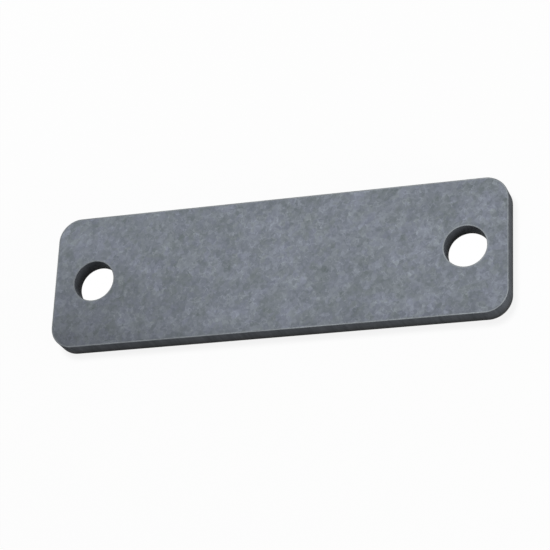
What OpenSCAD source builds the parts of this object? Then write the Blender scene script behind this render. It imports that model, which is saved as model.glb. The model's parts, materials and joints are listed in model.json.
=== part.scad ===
// Flat steel mounting plate with rounded corners and one bolt hole near each end.
// Sizes are in millimetres. X runs along the plate, Y across it and Z through its thickness.
// The plate lies on its back face, and the origin is the middle of that face.

/* [Plate] */
// Length from end to end
plate_length = 100; // [60:1:300]
// Width from side to side
plate_width = 30; // [24:1:80]
// Thickness from the back face to the front face
plate_thickness = 4; // [2:0.5:12]
// Radius of the four corners, seen from the front
corner_radius = 5; // [2:0.5:10]

/* [Bolt holes] */
// Diameter of each hole
hole_diameter = 9; // [4:0.5:12]
// Distance from each end of the plate to the centre of the hole near it
hole_inset = 9; // [9:0.5:20]

/* [Edges] */
// Width and depth of the 45 degree edge break on every rim
edge_break = 0.1; // [0.05:0.05:0.5]

/* [Hidden] */
$fn = 128;
steel_colour = "#787e85";
// How far the hole's cutting shape runs past each face
cut_past = 1;
hole_radius = hole_diameter / 2;
// Distance of the corner arcs' centres from the middle of the plate
corner_x = plate_length / 2 - corner_radius;
corner_y = plate_width / 2 - corner_radius;
// Distance of the hole centres from the middle of the plate
hole_x = plate_length / 2 - hole_inset;

// Half of the plate's cross-section, from its middle out to a rim, with both rims broken
function half_section(reach) = [
    [0, 0],
    [reach - edge_break, 0],
    [reach, edge_break],
    [reach, plate_thickness - edge_break],
    [reach - edge_break, plate_thickness],
    [0, plate_thickness]
];

// A straight bar along Y, as wide as twice the reach, with its long rims broken
module bar(reach, bar_length) {
    rotate([90, 0, 0])
        linear_extrude(height = bar_length, center = true) {
            polygon(half_section(reach));
            mirror([1, 0, 0]) polygon(half_section(reach));
        }
}

// A disc that makes one corner, with its two rims broken
module corner_disc() {
    rotate_extrude() polygon(half_section(corner_radius));
}

// The outline of the plate as one slab: two crossed bars and a disc at each corner
module slab() {
    bar(plate_length / 2, 2 * corner_y);
    rotate([0, 0, 90]) bar(plate_width / 2, 2 * corner_x);
    for (x = [-corner_x, corner_x], y = [-corner_y, corner_y])
        translate([x, y, 0]) corner_disc();
}

// The space that the drill and the countersink take away for one bolt, turned about its axis
module bolt_hole() {
    mouth_radius = hole_radius + edge_break + cut_past;
    rotate_extrude()
        polygon([
            [0, -cut_past],
            [mouth_radius, -cut_past],
            [hole_radius, edge_break],
            [hole_radius, plate_thickness - edge_break],
            [mouth_radius, plate_thickness + cut_past],
            [0, plate_thickness + cut_past]
        ]);
}

module plate() {
    color(steel_colour)
        difference() {
            slab();
            for (x = [-hole_x, hole_x])
                translate([x, 0, 0]) bolt_hole();
        }
}

plate();
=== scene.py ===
"""Finish, stage, light and camera for a flat steel mounting plate with two bolt holes.

Lengths are in metres, in the frame of the solid model: X along the plate, Y across it and Z through its
thickness, with the origin at the middle of the back face.
"""
import json
import math

import bmesh
import bpy
from bpy.props import FloatProperty, FloatVectorProperty, PointerProperty
from mathutils import Matrix, Quaternion, Vector


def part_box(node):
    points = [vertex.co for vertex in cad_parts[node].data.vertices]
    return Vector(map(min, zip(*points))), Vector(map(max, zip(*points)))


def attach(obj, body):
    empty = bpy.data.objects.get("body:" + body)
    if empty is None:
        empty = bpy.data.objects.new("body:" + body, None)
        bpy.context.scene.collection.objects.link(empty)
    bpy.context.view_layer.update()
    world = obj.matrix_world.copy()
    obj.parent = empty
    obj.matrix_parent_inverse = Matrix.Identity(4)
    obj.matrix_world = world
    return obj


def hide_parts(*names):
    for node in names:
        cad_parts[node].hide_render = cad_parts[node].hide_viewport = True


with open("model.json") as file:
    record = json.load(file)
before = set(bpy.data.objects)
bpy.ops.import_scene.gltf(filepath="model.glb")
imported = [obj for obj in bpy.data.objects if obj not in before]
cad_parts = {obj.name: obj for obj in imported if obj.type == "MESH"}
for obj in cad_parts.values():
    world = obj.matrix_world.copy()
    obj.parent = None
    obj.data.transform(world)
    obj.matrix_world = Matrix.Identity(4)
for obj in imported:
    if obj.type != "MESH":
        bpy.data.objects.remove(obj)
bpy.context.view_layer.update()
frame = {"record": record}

bl_info = {
    "name": "Mounting plate",
    "version": (1, 0, 0),
    "blender": (4, 5, 0),
    "location": "3D View > Sidebar > Mounting plate",
    "description": "Makes a drilled steel mounting plate with its finish, and a pale stage to show it on",
    "category": "Object",
}

MM = 0.001

# What the solid model says about the plate
PLATE_LOW, PLATE_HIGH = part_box("plate")
PLATE_SIZE = PLATE_HIGH - PLATE_LOW
MOUNTS = {mount["name"]: mount for mount in frame["record"]["mounts"]}
RIGHT_HOLE = MOUNTS["right_hole"]
HOLE_WALL = RIGHT_HOLE["dims"]["length_mm"] * MM

# How finely round stretches are drawn
CORNER_STEPS = 24
HOLE_STEPS = 96
RIM_STEPS = 3

# How near two points are taken as one, and how near a height a point is taken as on it
SAME_POINT = 0.001 * MM
SAME_HEIGHT = 0.01 * MM

# Share of a face's normal along one axis from which the face is taken as square to it
SQUARE = 0.99999

# Material slots of the plate, in the order in which they are added; the border's slot carries a painted
# highlight
SKIN, CUT, BORDER = range(3)

# The middle level of a texture
MIDDLE = 0.5

# Three sizes of flake: share of the largest size, weight of the flakes' own tone, and weight of the clouds
FLAKE_LAYERS = ((1.0, 0.14, 0.38), (0.6, 0.2, 0.22), (0.33, 0.21, None))
CLOUD_MM = 5.0
BROAD_MM = 17.0
BROAD_WEIGHT = 0.12

# The warp that makes the flakes ragged: its size and its reach, both as shares of the largest flake
WARP_SHARE = 0.6
WARP_REACH = 0.6

# The pale lines at lifted flakes: the flakes' share, the line's width, and where and how strongly it shows
LINE_SHARE = 0.6
LINE_WIDTH = 0.09
LIFTED_MM = 1.5
LIFTED_FROM, LIFTED_TO = 0.52, 0.62
LIFTED_TONE = 0.22

# The lean to olive or lilac: the flakes' share, and the weights of the flakes and of the clouds
LEAN_SHARE = 0.8
LEAN_FLAKES, LEAN_CLOUDS = 0.5, 0.9

# The streaks of the cut: their sizes in millimetres with their weights, and how they are drawn out through Z
STREAK_LAYERS = ((0.7, 0.7), (3.0, 0.9))
STREAK_STRETCH = (1.0, 1.0, 0.06)

# Sizes of the wear and painted highlight along the border, in millimetres, and the share of the corner's
# painted shade that it keeps
WEAR_MM = (0.6, 4.0)
BORDER_CORNER_SHADE = 0.5

# Height of the bumps on skin and cut, and how much of it shows
BUMP_HEIGHT = 0.02 * MM
BUMP_STRENGTH = 0.6

# How far the floor lies below the plate, so that the two surfaces never meet
FLOOR_GAP = 0.01 * MM


def linear(hex_colour):
    """Turns an sRGB colour such as "#7b8188" into the linear red, green, blue and alpha that shaders use."""
    shares = [int(hex_colour[i:i + 2], 16) / 255 for i in (1, 3, 5)]
    return [c / 12.92 if c <= 0.04045 else ((c + 0.055) / 1.055) ** 2.4 for c in shares] + [1.0]


def per_metre(size_mm):
    """How many features of a size in millimetres fit in a metre, which is a texture's scale."""
    return 1000 / size_mm


def add_node(tree, kind, inputs=None, stops=None, **settings):
    """Adds a node, sets its options, and fills its inputs with values or with links from other nodes."""
    node = tree.nodes.new(kind)
    for name, value in settings.items():
        setattr(node, name, value)
    for name, value in (inputs or {}).items():
        if isinstance(value, bpy.types.NodeSocket):
            tree.links.new(value, node.inputs[name])
        else:
            node.inputs[name].default_value = value
    if stops:
        elements = node.color_ramp.elements
        while len(elements) < len(stops):
            elements.new(1.0)
        for element, (place, colour) in zip(elements, stops):
            element.position = place
            element.color = colour
    return node


def new_material(name):
    """Makes an empty material with an output, and gives back the material, its tree and its output."""
    material = bpy.data.materials.new(name)
    material.use_nodes = True
    tree = material.node_tree
    tree.nodes.clear()
    return material, tree, add_node(tree, "ShaderNodeOutputMaterial")


# Finishes

def add_up(tree, parts):
    """Adds several textures to the middle level, each centred on nought and given its weight."""
    total = MIDDLE
    for texture, weight in parts:
        grey = add_node(tree, "ShaderNodeRGBToBW", {"Color": texture.outputs["Color"]})
        level = add_node(tree, "ShaderNodeMath", {0: grey.outputs[0], 1: MIDDLE}, operation="SUBTRACT")
        total = add_node(tree, "ShaderNodeMath", {0: level.outputs[0], 1: weight, 2: total},
                         operation="MULTIPLY_ADD").outputs[0]
    return total


def corner_painted_shade(tree, place, settings, strength):
    """Painted shade at one corner, which fades out along the plate and across it, as the share of light
    kept.
    """
    fade = Vector((settings.corner_shade_length, settings.corner_shade_width, 1))
    corner = Vector((-settings.length / 2, -settings.width / 2, 0))
    spread = add_node(tree, "ShaderNodeMapping", {
        "Vector": place, "Location": [-c / f for c, f in zip(corner, fade)], "Scale": [1 / f for f in fade]})
    reach = add_node(tree, "ShaderNodeVectorMath", {0: spread.outputs[0]}, operation="LENGTH")
    darkest = 1 - strength * (1 - settings.corner_shade_tone)
    shade = add_node(tree, "ShaderNodeMapRange", {"Value": reach.outputs["Value"], "To Min": darkest})
    return shade.outputs[0]


def make_skin(settings):
    """The rolled faces: matt mill scale on steel, which the eye sees as small blue-grey flakes."""
    material, tree, output = new_material("hot_rolled_steel_mill_scale")
    place = add_node(tree, "ShaderNodeTexCoord").outputs["Object"]
    flake = settings.flake_size / MM

    # A gentle warp of the coordinates gives the flakes ragged edges
    warp = add_node(tree, "ShaderNodeTexNoise", {
        "Vector": place, "Scale": per_metre(WARP_SHARE * flake), "Detail": 1.0})
    centred = add_node(tree, "ShaderNodeVectorMath", {0: warp.outputs["Color"], 1: [MIDDLE] * 3},
                       operation="SUBTRACT")
    shift = add_node(tree, "ShaderNodeVectorMath", {
        0: centred.outputs[0], "Scale": WARP_REACH * settings.flake_size}, operation="SCALE")
    moved = add_node(tree, "ShaderNodeVectorMath", {0: place, 1: shift.outputs[0]}, operation="ADD")
    ragged = moved.outputs[0]

    # Each flake has one tone of its own, and in the two larger sizes one more from the clouds at its middle
    textures = []
    for share, own_weight, cloud_weight in FLAKE_LAYERS:
        flakes = add_node(tree, "ShaderNodeTexVoronoi", {
            "Vector": ragged, "Scale": per_metre(share * flake)})
        textures.append((flakes, own_weight))
        if cloud_weight:
            clouds = add_node(tree, "ShaderNodeTexNoise", {
                "Vector": flakes.outputs["Position"], "Scale": per_metre(CLOUD_MM),
                "Detail": 3.0, "Roughness": 0.6})
            textures.append((clouds, cloud_weight))
    broad = add_node(tree, "ShaderNodeTexNoise", {
        "Vector": place, "Scale": per_metre(BROAD_MM), "Detail": 2.0})
    tone = add_up(tree, textures + [(broad, BROAD_WEIGHT)])

    # Here and there the lifted edge of a flake shows as a fine pale line, drawn wide enough to be seen
    flake_edge = add_node(tree, "ShaderNodeTexVoronoi", {
        "Vector": ragged, "Scale": per_metre(LINE_SHARE * flake)}, feature="DISTANCE_TO_EDGE")
    line = add_node(tree, "ShaderNodeMapRange", {
        "Value": flake_edge.outputs["Distance"], "From Max": LINE_WIDTH, "To Min": 1.0, "To Max": 0.0})
    patches = add_node(tree, "ShaderNodeTexNoise", {"Vector": place, "Scale": per_metre(LIFTED_MM)})
    lifted = add_node(tree, "ShaderNodeMapRange", {
        "Value": patches.outputs["Fac"], "From Min": LIFTED_FROM, "From Max": LIFTED_TO,
        "To Max": LIFTED_TONE})
    tone = add_node(tree, "ShaderNodeMath", {0: line.outputs[0], 1: lifted.outputs[0], 2: tone},
                    operation="MULTIPLY_ADD").outputs[0]
    colour = add_node(tree, "ShaderNodeValToRGB", {"Fac": tone}, stops=[
        (0.15, settings.skin_dark), (MIDDLE, settings.skin_middle), (0.85, settings.skin_light)])

    # Some flakes lean towards lilac and some towards olive
    lean_flakes = add_node(tree, "ShaderNodeTexVoronoi", {
        "Vector": ragged, "Scale": per_metre(LEAN_SHARE * flake)})
    lean_clouds = add_node(tree, "ShaderNodeTexNoise", {
        "Vector": place, "Scale": per_metre(CLOUD_MM), "Detail": 3.0})
    lean = add_up(tree, [(lean_flakes, LEAN_FLAKES), (lean_clouds, LEAN_CLOUDS)])
    tint = add_node(tree, "ShaderNodeValToRGB", {"Fac": lean},
                    stops=[(0.2, settings.skin_olive), (0.8, settings.skin_lilac)])
    tinted = add_node(tree, "ShaderNodeMix", {"Factor": 1.0, "A": colour.outputs[0], "B": tint.outputs[0]},
                      data_type="RGBA", blend_type="MULTIPLY")

    # Painted shade: one corner is darkened, and the face is darker close to the front edge and to the
    # right-hand end
    shade = corner_painted_shade(tree, place, settings, 1.0)
    # Each margin is painted shade that darkens the face towards its edge
    margins = [("Y", -settings.width / 2, settings.front_shade_margin, settings.front_shade_tone),
               ("X", settings.length / 2, -settings.end_shade_margin, settings.end_shade_tone)]
    along = add_node(tree, "ShaderNodeSeparateXYZ", {0: place})
    for axis, edge, margin, edge_tone in margins:
        edge_shade = add_node(tree, "ShaderNodeMapRange", {
            "Value": along.outputs[axis], "From Min": edge, "From Max": edge + margin, "To Min": edge_tone})
        shade = add_node(tree, "ShaderNodeMath", {0: shade, 1: edge_shade.outputs[0]},
                         operation="MULTIPLY").outputs[0]
    darkened = add_node(tree, "ShaderNodeVectorMath", {0: tinted.outputs[2], "Scale": shade},
                       operation="SCALE")

    # The flakes differ a little in gloss, and stand out by a few microns
    gloss = add_node(tree, "ShaderNodeMapRange", {"Value": tone, "To Min": 0.7, "To Max": 0.5})
    relief = add_node(tree, "ShaderNodeBump", {
        "Height": tone, "Distance": BUMP_HEIGHT, "Strength": BUMP_STRENGTH})
    shader = add_node(tree, "ShaderNodeBsdfPrincipled", {
        "Base Color": darkened.outputs[0],
        "Metallic": 0.15,
        "Roughness": gloss.outputs[0],
        "Specular IOR Level": 0.2,
        "Normal": relief.outputs[0],
    })
    tree.links.new(shader.outputs[0], output.inputs["Surface"])
    return material


def make_cut(settings):
    """The sides, the hole walls and the broken edges: dark oxide left by the cut, with streaks through it.

    Towards the back face it is darker and less blue: painted shade where the sides meet the floor.
    """
    material, tree, output = new_material("dark_oxide_cut_steel")
    place = add_node(tree, "ShaderNodeTexCoord").outputs["Object"]

    # The streaks are far longer through the thickness than they are wide
    drawn = add_node(tree, "ShaderNodeVectorMath", {0: place, 1: STREAK_STRETCH}, operation="MULTIPLY")
    streaks = []
    for size_mm, weight in STREAK_LAYERS:
        layer = add_node(tree, "ShaderNodeTexNoise", {
            "Vector": drawn.outputs[0], "Scale": per_metre(size_mm), "Detail": 3.0, "Roughness": 0.6})
        streaks.append((layer, weight))
    streak = add_up(tree, streaks)
    colour = add_node(tree, "ShaderNodeValToRGB", {"Fac": streak},
                      stops=[(0.2, settings.cut_dark), (0.8, settings.cut_light)])

    # The painted shade towards the back face grows with the square of the depth
    height = add_node(tree, "ShaderNodeSeparateXYZ", {0: place})
    depth = add_node(tree, "ShaderNodeMapRange", {
        "Value": height.outputs["Z"], "From Min": settings.thickness, "From Max": 0.0})
    squared = add_node(tree, "ShaderNodeMath", {0: depth.outputs[0], 1: 2.0}, operation="POWER")
    shaded = add_node(tree, "ShaderNodeMix", {
        "Factor": squared.outputs[0], "A": colour.outputs[0], "B": settings.cut_back_shade,
    }, data_type="RGBA", blend_type="MULTIPLY")
    relief = add_node(tree, "ShaderNodeBump", {
        "Height": streak, "Distance": BUMP_HEIGHT, "Strength": BUMP_STRENGTH})
    shader = add_node(tree, "ShaderNodeBsdfPrincipled", {
        "Base Color": shaded.outputs[2],
        "Roughness": 0.7,
        "Specular IOR Level": 0.03,
        "Normal": relief.outputs[0],
    })
    tree.links.new(shader.outputs[0], output.inputs["Surface"])
    return material


def make_border(settings):
    """The border of the faces: mill scale rubbed by handling, a little paler and greyer than the rest.

    The eye sees it as a thin pale line beside each edge, partly rubbed steel and partly a painted highlight
    of the rim.
    """
    material, tree, output = new_material("hot_rolled_steel_rubbed_border")
    place = add_node(tree, "ShaderNodeTexCoord").outputs["Object"]
    layers = []
    for size_mm in WEAR_MM:
        layer = add_node(tree, "ShaderNodeTexNoise", {
            "Vector": place, "Scale": per_metre(size_mm), "Detail": 2.0})
        layers.append((layer, 1.0))
    colour = add_node(tree, "ShaderNodeValToRGB", {"Fac": add_up(tree, layers)},
                      stops=[(0.2, settings.border_dark), (0.8, settings.border_light)])

    # The corner's painted shade shows on the border at part strength
    shade = corner_painted_shade(tree, place, settings, BORDER_CORNER_SHADE)
    darkened = add_node(tree, "ShaderNodeVectorMath", {0: colour.outputs["Color"], "Scale": shade},
                       operation="SCALE")
    shader = add_node(tree, "ShaderNodeBsdfPrincipled", {
        "Base Color": darkened.outputs[0],
        "Metallic": 0.3,
        "Roughness": 0.5,
        "Specular IOR Level": 0.2,
    })
    tree.links.new(shader.outputs[0], output.inputs["Surface"])
    return material


# Plate

def rim_section(bm, matrix, settings, outward):
    """A strip of edges that runs over one wall, from front face to back face, with both rims rounded.

    Along X, 0 is the wall, and the material lies on the side that outward points away from.
    """
    inset = -outward * (settings.edge_break + settings.border_width)
    front = settings.thickness
    corners = [(inset, 0, front), (0, 0, front), (0, 0, 0), (inset, 0, 0)]
    verts = [bm.verts.new(matrix @ Vector(corner)) for corner in corners]
    edges = [bm.edges.new(pair) for pair in zip(verts, verts[1:])]
    bmesh.ops.bevel(bm, geom=verts[1:3], offset=settings.edge_break, offset_type="OFFSET",
                    affect="VERTICES", segments=RIM_STEPS, profile=0.5, material=-1)
    return edges


def open_edges(bm, height):
    """The edges at one height that have a single face: where a flat face is still missing."""
    return [edge for edge in bm.edges
            if edge.is_boundary and all(abs(vert.co.z - height) < SAME_HEIGHT for vert in edge.verts)]


def put_in_order(sequence, key):
    """Sorts points, edges or faces by a key, and numbers them in that order."""
    for place, element in enumerate(sorted(sequence, key=key)):
        element.index = place
    sequence.sort()


def build_plate(settings):
    """Sweeps the rim's section round the outline, turns the hole walls, and fills the two faces."""
    bm = bmesh.new()
    half_length = settings.length / 2
    half_width = settings.width / 2
    radius = settings.corner_radius
    up = Vector((0, 0, 1))

    rim_section(bm, Matrix.Translation((half_length, radius - half_width, 0)), settings, 1)
    strip = list(bm.edges)
    runs = [(settings.width - 2 * radius, (half_length - radius, half_width - radius)),
            (settings.length - 2 * radius, (radius - half_length, half_width - radius)),
            (settings.width - 2 * radius, (radius - half_length, radius - half_width)),
            (settings.length - 2 * radius, (half_length - radius, radius - half_width))]
    direction = Vector((0, 1, 0))
    for run, centre in runs:
        pulled = bmesh.ops.extrude_edge_only(bm, edges=strip)["geom"]
        moved = [g for g in pulled if isinstance(g, bmesh.types.BMVert)]
        bmesh.ops.translate(bm, vec=direction * run, verts=moved)
        strip = [g for g in pulled if isinstance(g, bmesh.types.BMEdge)]
        verts = list(dict.fromkeys(vert for edge in strip for vert in edge.verts))
        turned = bmesh.ops.spin(bm, geom=verts + strip, cent=(*centre, 0), axis=up, angle=math.pi / 2,
                                steps=CORNER_STEPS)["geom_last"]
        strip = [g for g in turned if isinstance(g, bmesh.types.BMEdge)]
        direction.rotate(Quaternion(up, math.pi / 2))

    for side in (-1, 1):
        before = set(bm.edges)
        centre = side * settings.hole_spacing / 2
        wall = Matrix.Translation((centre + settings.hole_diameter / 2, 0, 0))
        rim_section(bm, wall, settings, -1)
        strip = [edge for edge in bm.edges if edge not in before]
        verts = list(dict.fromkeys(vert for edge in strip for vert in edge.verts))
        bmesh.ops.spin(bm, geom=verts + strip, cent=(centre, 0, 0), axis=up, angle=math.tau,
                       steps=HOLE_STEPS, use_merge=True)

    bmesh.ops.remove_doubles(bm, verts=bm.verts, dist=SAME_POINT)
    swept = set(bm.faces)
    for height in (0.0, settings.thickness):
        bmesh.ops.triangle_fill(bm, edges=open_edges(bm, height), use_beauty=True, use_dissolve=False,
                                normal=up)
    bmesh.ops.recalc_face_normals(bm, faces=bm.faces)

    # Of what was swept, the flat strip on each face is the rubbed border with its painted highlight, and the
    # rest is cut
    for face in bm.faces:
        lift = abs(face.normal.z)
        face.material_index = SKIN if face not in swept else BORDER if lift > SQUARE else CUT
        face.smooth = max(abs(face.normal.x), abs(face.normal.y), lift) <= SQUARE

    # The operators above leave points, edges and faces in an order that changes from run to run
    put_in_order(bm.verts, lambda vert: tuple(vert.co))
    put_in_order(bm.edges, lambda edge: sorted(vert.index for vert in edge.verts))
    put_in_order(bm.faces, lambda face: sorted(vert.index for vert in face.verts))
    mesh = bpy.data.meshes.new("steel_plate")
    bm.to_mesh(mesh)
    bm.free()
    return mesh


# Settings

class PlateSettings(bpy.types.PropertyGroup):
    """Sizes and colours of the plate"""

    length: FloatProperty(
        name="Length", description="From end to end",
        default=PLATE_SIZE.x, min=0.01, unit="LENGTH", subtype="DISTANCE", precision=4)
    width: FloatProperty(
        name="Width", description="From side to side",
        default=PLATE_SIZE.y, min=0.01, unit="LENGTH", subtype="DISTANCE", precision=4)
    thickness: FloatProperty(
        name="Thickness", description="From the back face to the front face",
        default=PLATE_SIZE.z, min=0.001, unit="LENGTH", subtype="DISTANCE", precision=4)
    corner_radius: FloatProperty(
        name="Corner radius", description="Radius of the four corners",
        default=5 * MM, min=0.001, unit="LENGTH", subtype="DISTANCE", precision=4)
    hole_diameter: FloatProperty(
        name="Hole diameter", description="Across each bolt hole",
        default=2 * RIGHT_HOLE["dims"]["r_mm"] * MM, min=0.001, unit="LENGTH", subtype="DISTANCE",
        precision=4)
    hole_spacing: FloatProperty(
        name="Hole spacing", description="Between the centres of the two bolt holes",
        default=2 * RIGHT_HOLE["pos_m"][0], min=0.005, unit="LENGTH", subtype="DISTANCE", precision=4)
    edge_break: FloatProperty(
        name="Edge break", description="Width of the rounding on every rim",
        default=(PLATE_SIZE.z - HOLE_WALL) / 2, min=0.00001, unit="LENGTH", subtype="DISTANCE",
        precision=5)
    # The rubbed border is partly a painted highlight along each rim
    border_width: FloatProperty(
        name="Border width", description="Width of the rubbed border of each face",
        default=0.2 * MM, min=0.00001, unit="LENGTH", subtype="DISTANCE", precision=5)
    skin_dark: FloatVectorProperty(
        name="Skin, dark flakes", description="Darkest tone of the two faces",
        default=linear("#586063"), subtype="COLOR", size=4, min=0, max=1)
    skin_middle: FloatVectorProperty(
        name="Skin", description="Middle tone of the two faces",
        default=linear("#6f747e"), subtype="COLOR", size=4, min=0, max=1)
    skin_light: FloatVectorProperty(
        name="Skin, pale flakes", description="Palest tone of the two faces",
        default=linear("#858b95"), subtype="COLOR", size=4, min=0, max=1)
    skin_olive: FloatVectorProperty(
        name="Skin, olive lean", description="Tint of the flakes that lean to olive",
        default=linear("#fafdf3"), subtype="COLOR", size=4, min=0, max=1)
    skin_lilac: FloatVectorProperty(
        name="Skin, lilac lean", description="Tint of the flakes that lean to lilac",
        default=linear("#fafaff"), subtype="COLOR", size=4, min=0, max=1)
    flake_size: FloatProperty(
        name="Flake size", description="Width of the largest flakes of scale",
        default=1.7 * MM, min=0.0001, unit="LENGTH", subtype="DISTANCE", precision=5)
    # Painted shade that darkens the lower-left corner: how light it stays, and how far it reaches along and
    # across
    corner_shade_tone: FloatProperty(
        name="Stain", description="How light the stained corner stays, where 1 is no stain",
        default=0.58, min=0, max=1, subtype="FACTOR")
    corner_shade_length: FloatProperty(
        name="Stain length", description="How far the stain reaches along the plate",
        default=44 * MM, min=0.001, unit="LENGTH", subtype="DISTANCE", precision=4)
    corner_shade_width: FloatProperty(
        name="Stain width", description="How far the stain reaches across the plate",
        default=24 * MM, min=0.001, unit="LENGTH", subtype="DISTANCE", precision=4)
    # Painted shade along the front edge and at the right-hand end of the face, not a duller finish
    front_shade_tone: FloatProperty(
        name="Front margin tone", description="How light the face stays at its front edge",
        default=0.83, min=0, max=1, subtype="FACTOR")
    front_shade_margin: FloatProperty(
        name="Front margin", description="How far in from the front edge the face is duller",
        default=4.3 * MM, min=0.0001, unit="LENGTH", subtype="DISTANCE", precision=4)
    end_shade_tone: FloatProperty(
        name="End margin tone", description="How light the face stays at its right-hand end",
        default=0.93, min=0, max=1, subtype="FACTOR")
    end_shade_margin: FloatProperty(
        name="End margin", description="How far in from the right-hand end the face is duller",
        default=2.4 * MM, min=0.0001, unit="LENGTH", subtype="DISTANCE", precision=4)
    cut_dark: FloatVectorProperty(
        name="Cut, dark streaks", description="Darkest tone of the sides",
        default=linear("#565b60"), subtype="COLOR", size=4, min=0, max=1)
    cut_light: FloatVectorProperty(
        name="Cut, pale streaks", description="Palest tone of the sides",
        default=linear("#7e8289"), subtype="COLOR", size=4, min=0, max=1)
    # Painted shade of the sides near the floor, at the back face
    cut_back_shade: FloatVectorProperty(
        name="Cut, back tint", description="Tint of the sides at the back face",
        default=linear("#ada69a"), subtype="COLOR", size=4, min=0, max=1)
    # Tones of the rubbed border, which is partly a painted highlight
    border_dark: FloatVectorProperty(
        name="Border, dull parts", description="Darkest tone of the rubbed border",
        default=linear("#54585b"), subtype="COLOR", size=4, min=0, max=1)
    border_light: FloatVectorProperty(
        name="Border, bright parts", description="Palest tone of the rubbed border",
        default=linear("#757a7e"), subtype="COLOR", size=4, min=0, max=1)


class StageSettings(bpy.types.PropertyGroup):
    """Floor, light and camera"""

    floor_colour: FloatVectorProperty(
        name="Floor", description="Colour of the floor and of the surroundings",
        default=linear("#ffffff"), subtype="COLOR", size=4, min=0, max=1)
    bounce_colour: FloatVectorProperty(
        name="Floor bounce", description="Colour of the light that the floor returns",
        default=linear("#a0a0a0"), subtype="COLOR", size=4, min=0, max=1)
    floor_size: FloatProperty(
        name="Floor size", description="Length of the floor's sides",
        default=6.0, min=0.5, unit="LENGTH", subtype="DISTANCE")
    shadow_share: FloatProperty(
        name="Shadow", description="How much of the contact shadow the floor shows",
        default=0.13, min=0, max=1, subtype="FACTOR")
    clear_radius: FloatProperty(
        name="Clear radius", description="Radius of the shadowless floor under each hole",
        default=5.5 * MM, min=0, unit="LENGTH", subtype="DISTANCE", precision=4)
    fill_level: FloatProperty(
        name="Fill light", description="Light from all round, as a share of full daylight",
        default=0.09, min=0)
    key_level: FloatProperty(
        name="Key light", description="Light from the softbox above the front face",
        default=0.8, min=0)
    key_direction: FloatVectorProperty(
        name="Key direction", description="Direction from the plate to the softbox",
        default=(-0.15, 0.3, 0.94), subtype="DIRECTION")
    key_distance: FloatProperty(
        name="Key distance", description="From the plate to the softbox",
        default=1.0, min=0.05, unit="LENGTH", subtype="DISTANCE")
    key_size: FloatProperty(
        name="Key size", description="Width of the softbox",
        default=0.3, min=0.01, unit="LENGTH", subtype="DISTANCE")
    side_level: FloatProperty(
        name="Side light", description="Light from the softbox at the right-hand end",
        default=0.34, min=0)
    side_direction: FloatVectorProperty(
        name="Side direction", description="Direction from the plate to the softbox",
        default=(0.9, -0.42, 0.12), subtype="DIRECTION")
    side_distance: FloatProperty(
        name="Side distance", description="From the plate to the softbox",
        default=0.3, min=0.05, unit="LENGTH", subtype="DISTANCE")
    side_size: FloatProperty(
        name="Side size", description="Width of the softbox",
        default=0.12, min=0.01, unit="LENGTH", subtype="DISTANCE")
    aim: FloatVectorProperty(
        name="Camera aim", description="Point at the middle of the picture",
        default=(0.2661 * MM, -2.543 * MM, 4 * MM), subtype="TRANSLATION", unit="LENGTH")
    distance: FloatProperty(
        name="Camera distance", description="From the camera to its aim",
        default=443.591 * MM, min=0.05, unit="LENGTH", subtype="DISTANCE")
    azimuth: FloatProperty(
        name="Azimuth", description="Turn of the camera round the plate",
        default=math.radians(38.3901), subtype="ANGLE")
    elevation: FloatProperty(
        name="Elevation", description="Height of the camera as an angle above the floor",
        default=math.radians(60.1746), subtype="ANGLE")
    roll: FloatProperty(
        name="Roll", description="Turn of the camera about its own line of sight",
        default=math.radians(-39.7719), subtype="ANGLE")
    lens: FloatProperty(
        name="Lens", description="Focal length for a 36 mm wide sensor",
        default=139.156, min=1, subtype="DISTANCE_CAMERA")


# Stage

def plain_view(tree):
    """Gives 1 for rays that see the background itself or mirrored, and 0 for those that carry light."""
    path = add_node(tree, "ShaderNodeLightPath")
    seen = path.outputs["Is Camera Ray"]
    for name in ("Is Glossy Ray", "Is Transmission Ray"):
        seen = add_node(tree, "ShaderNodeMath", {0: seen, 1: path.outputs[name]},
                        operation="MAXIMUM").outputs[0]
    return seen


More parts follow.
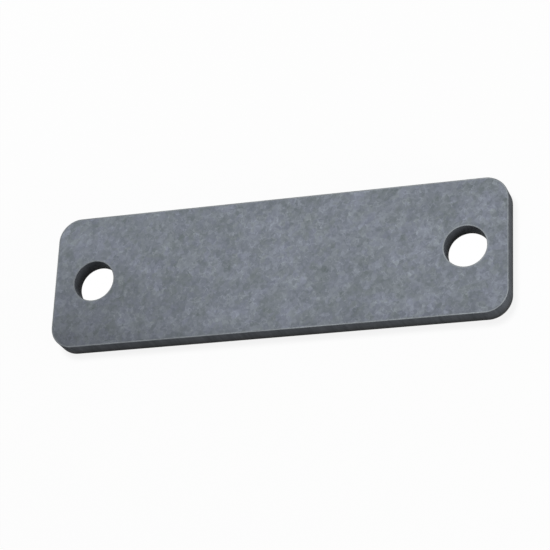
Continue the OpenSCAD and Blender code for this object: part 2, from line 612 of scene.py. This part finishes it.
def make_floor(settings):
    """A pale matt floor that shows as plain white and keeps the plate's contact shadow."""
    bm = bmesh.new()
    bmesh.ops.create_grid(bm, x_segments=1, y_segments=1, size=settings.floor_size / 2)
    bmesh.ops.translate(bm, vec=(0, 0, -FLOOR_GAP), verts=bm.verts)
    mesh = bpy.data.meshes.new("floor")
    bm.to_mesh(mesh)
    bm.free()
    floor = bpy.data.objects.new("floor", mesh)
    bpy.context.scene.collection.objects.link(floor)

    # The camera sees mostly plain white, but less light goes back to the plate, so its sides stay dark
    material, tree, output = new_material("matt_white_paper")
    seen = plain_view(tree)
    colour = add_node(tree, "ShaderNodeMix", {
        "Factor": seen, "A": settings.bounce_colour, "B": settings.floor_colour}, data_type="RGBA")
    lit = add_node(tree, "ShaderNodeBsdfDiffuse", {"Color": colour.outputs[2]})
    white = add_node(tree, "ShaderNodeEmission", {"Color": settings.floor_colour, "Strength": 1.0})

    # Under the holes the paper is plain white, with no shadow
    place = add_node(tree, "ShaderNodeTexCoord").outputs["Object"]
    mirrored = add_node(tree, "ShaderNodeVectorMath", {0: place}, operation="ABSOLUTE")
    under_hole = RIGHT_HOLE["pos_m"][:2] + [0]
    reach = add_node(tree, "ShaderNodeVectorMath", {0: mirrored.outputs[0], 1: under_hole},
                     operation="DISTANCE")
    outside = add_node(tree, "ShaderNodeMath", {0: reach.outputs["Value"], 1: settings.clear_radius},
                       operation="GREATER_THAN")
    shadow = add_node(tree, "ShaderNodeMath", {0: outside.outputs[0], 1: settings.shadow_share},
                      operation="MULTIPLY")
    plain = add_node(tree, "ShaderNodeMath", {0: 1.0, 1: shadow.outputs[0]}, operation="SUBTRACT")
    share = add_node(tree, "ShaderNodeMath", {0: seen, 1: plain.outputs[0]}, operation="MULTIPLY")
    mixed = add_node(tree, "ShaderNodeMixShader", {
        0: share.outputs[0], 1: lit.outputs[0], 2: white.outputs[0]})

    # From below, the paper lets the plate's back face be seen
    side = add_node(tree, "ShaderNodeNewGeometry").outputs["Backfacing"]
    clear = add_node(tree, "ShaderNodeBsdfTransparent")
    one_way = add_node(tree, "ShaderNodeMixShader", {0: side, 1: mixed.outputs[0], 2: clear.outputs[0]})
    tree.links.new(one_way.outputs[0], output.inputs["Surface"])
    mesh.materials.append(material)


def make_surroundings(settings):
    """A plain white surround that gives a weak fill light from all round."""
    world = bpy.data.worlds.new("white_surround")
    bpy.context.scene.world = world
    world.use_nodes = True
    tree = world.node_tree
    tree.nodes.clear()
    fill = add_node(tree, "ShaderNodeBackground", {
        "Color": settings.floor_colour, "Strength": settings.fill_level})
    white = add_node(tree, "ShaderNodeBackground", {"Color": settings.floor_colour, "Strength": 1.0})
    mixed = add_node(tree, "ShaderNodeMixShader", {
        0: plain_view(tree), 1: fill.outputs[0], 2: white.outputs[0]})
    output = add_node(tree, "ShaderNodeOutputWorld")
    tree.links.new(mixed.outputs[0], output.inputs["Surface"])


def make_softbox(name, level, direction, distance, size):
    """A square softbox that faces the plate's middle from one direction."""
    lamp = bpy.data.lights.new(name, "AREA")
    lamp.shape = "SQUARE"
    lamp.size = size
    # A small lamp of this power gives a white surface that faces it the level asked for
    lamp.energy = level * math.pi ** 2 * distance ** 2
    softbox = bpy.data.objects.new(name, lamp)
    direction = Vector(direction).normalized()
    softbox.location = direction * distance
    softbox.rotation_mode = "QUATERNION"
    softbox.rotation_quaternion = direction.to_track_quat("Z", "Y")
    bpy.context.scene.collection.objects.link(softbox)


def make_camera(settings):
    """A camera that looks down on the plate at the photo's angle."""
    camera = bpy.data.objects.new("camera", bpy.data.cameras.new("camera"))
    camera.data.sensor_width = 36
    camera.data.lens = settings.lens
    camera.data.clip_start = 0.01
    level = math.cos(settings.elevation)
    back = Vector((math.sin(settings.azimuth) * level, -math.cos(settings.azimuth) * level,
                   math.sin(settings.elevation)))
    camera.location = Vector(settings.aim) + back * settings.distance
    camera.rotation_mode = "QUATERNION"
    camera.rotation_quaternion = back.to_track_quat("Z", "Y") @ Quaternion((0, 0, 1), settings.roll)
    bpy.context.scene.collection.objects.link(camera)
    bpy.context.scene.camera = camera


# Operators and panel

class MOUNTING_PLATE_OT_make_plate(bpy.types.Operator):
    """Make the steel plate with its skin, its cut walls and the rubbed border of its faces, which carries a
    painted highlight
    """

    bl_idname = "mounting_plate.make_plate"
    bl_label = "Make plate"
    bl_options = {"REGISTER", "UNDO"}

    def execute(self, context):
        settings = context.scene.plate_settings
        mesh = build_plate(settings)
        for material in (make_skin(settings), make_cut(settings), make_border(settings)):
            mesh.materials.append(material)
        plate = bpy.data.objects.new("steel_plate", mesh)
        context.scene.collection.objects.link(plate)
        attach(plate, "root")
        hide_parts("plate")
        return {"FINISHED"}


class MOUNTING_PLATE_OT_make_stage(bpy.types.Operator):
    """Make the pale floor, the white surround, the soft light and the camera"""

    bl_idname = "mounting_plate.make_stage"
    bl_label = "Make stage"
    bl_options = {"REGISTER", "UNDO"}

    def execute(self, context):
        settings = context.scene.stage_settings
        make_floor(settings)
        make_surroundings(settings)
        make_softbox("key_softbox", settings.key_level, settings.key_direction, settings.key_distance,
                     settings.key_size)
        make_softbox("side_softbox", settings.side_level, settings.side_direction,
                     settings.side_distance, settings.side_size)
        make_camera(settings)
        context.scene.view_settings.view_transform = "Standard"
        return {"FINISHED"}


class MOUNTING_PLATE_PT_panel(bpy.types.Panel):
    """Sizes, colours and the buttons that make the plate and its stage"""

    bl_idname = "MOUNTING_PLATE_PT_panel"
    bl_label = "Mounting plate"
    bl_space_type = "VIEW_3D"
    bl_region_type = "UI"
    bl_category = "Mounting plate"

    def draw(self, context):
        for settings, operator in ((context.scene.plate_settings, MOUNTING_PLATE_OT_make_plate),
                                   (context.scene.stage_settings, MOUNTING_PLATE_OT_make_stage)):
            column = self.layout.column()
            for name in settings.bl_rna.properties.keys():
                if name not in ("rna_type", "name"):
                    column.prop(settings, name)
            column.operator(operator.bl_idname)


CLASSES = (PlateSettings, StageSettings, MOUNTING_PLATE_OT_make_plate, MOUNTING_PLATE_OT_make_stage,
           MOUNTING_PLATE_PT_panel)


def register():
    for entry in CLASSES:
        bpy.utils.register_class(entry)
    bpy.types.Scene.plate_settings = PointerProperty(type=PlateSettings)
    bpy.types.Scene.stage_settings = PointerProperty(type=StageSettings)


def unregister():
    del bpy.types.Scene.stage_settings
    del bpy.types.Scene.plate_settings
    for entry in reversed(CLASSES):
        bpy.utils.unregister_class(entry)


def main():
    register()
    bpy.ops.mounting_plate.make_plate()
    bpy.ops.mounting_plate.make_stage()


if __name__ == "__main__":
    main()
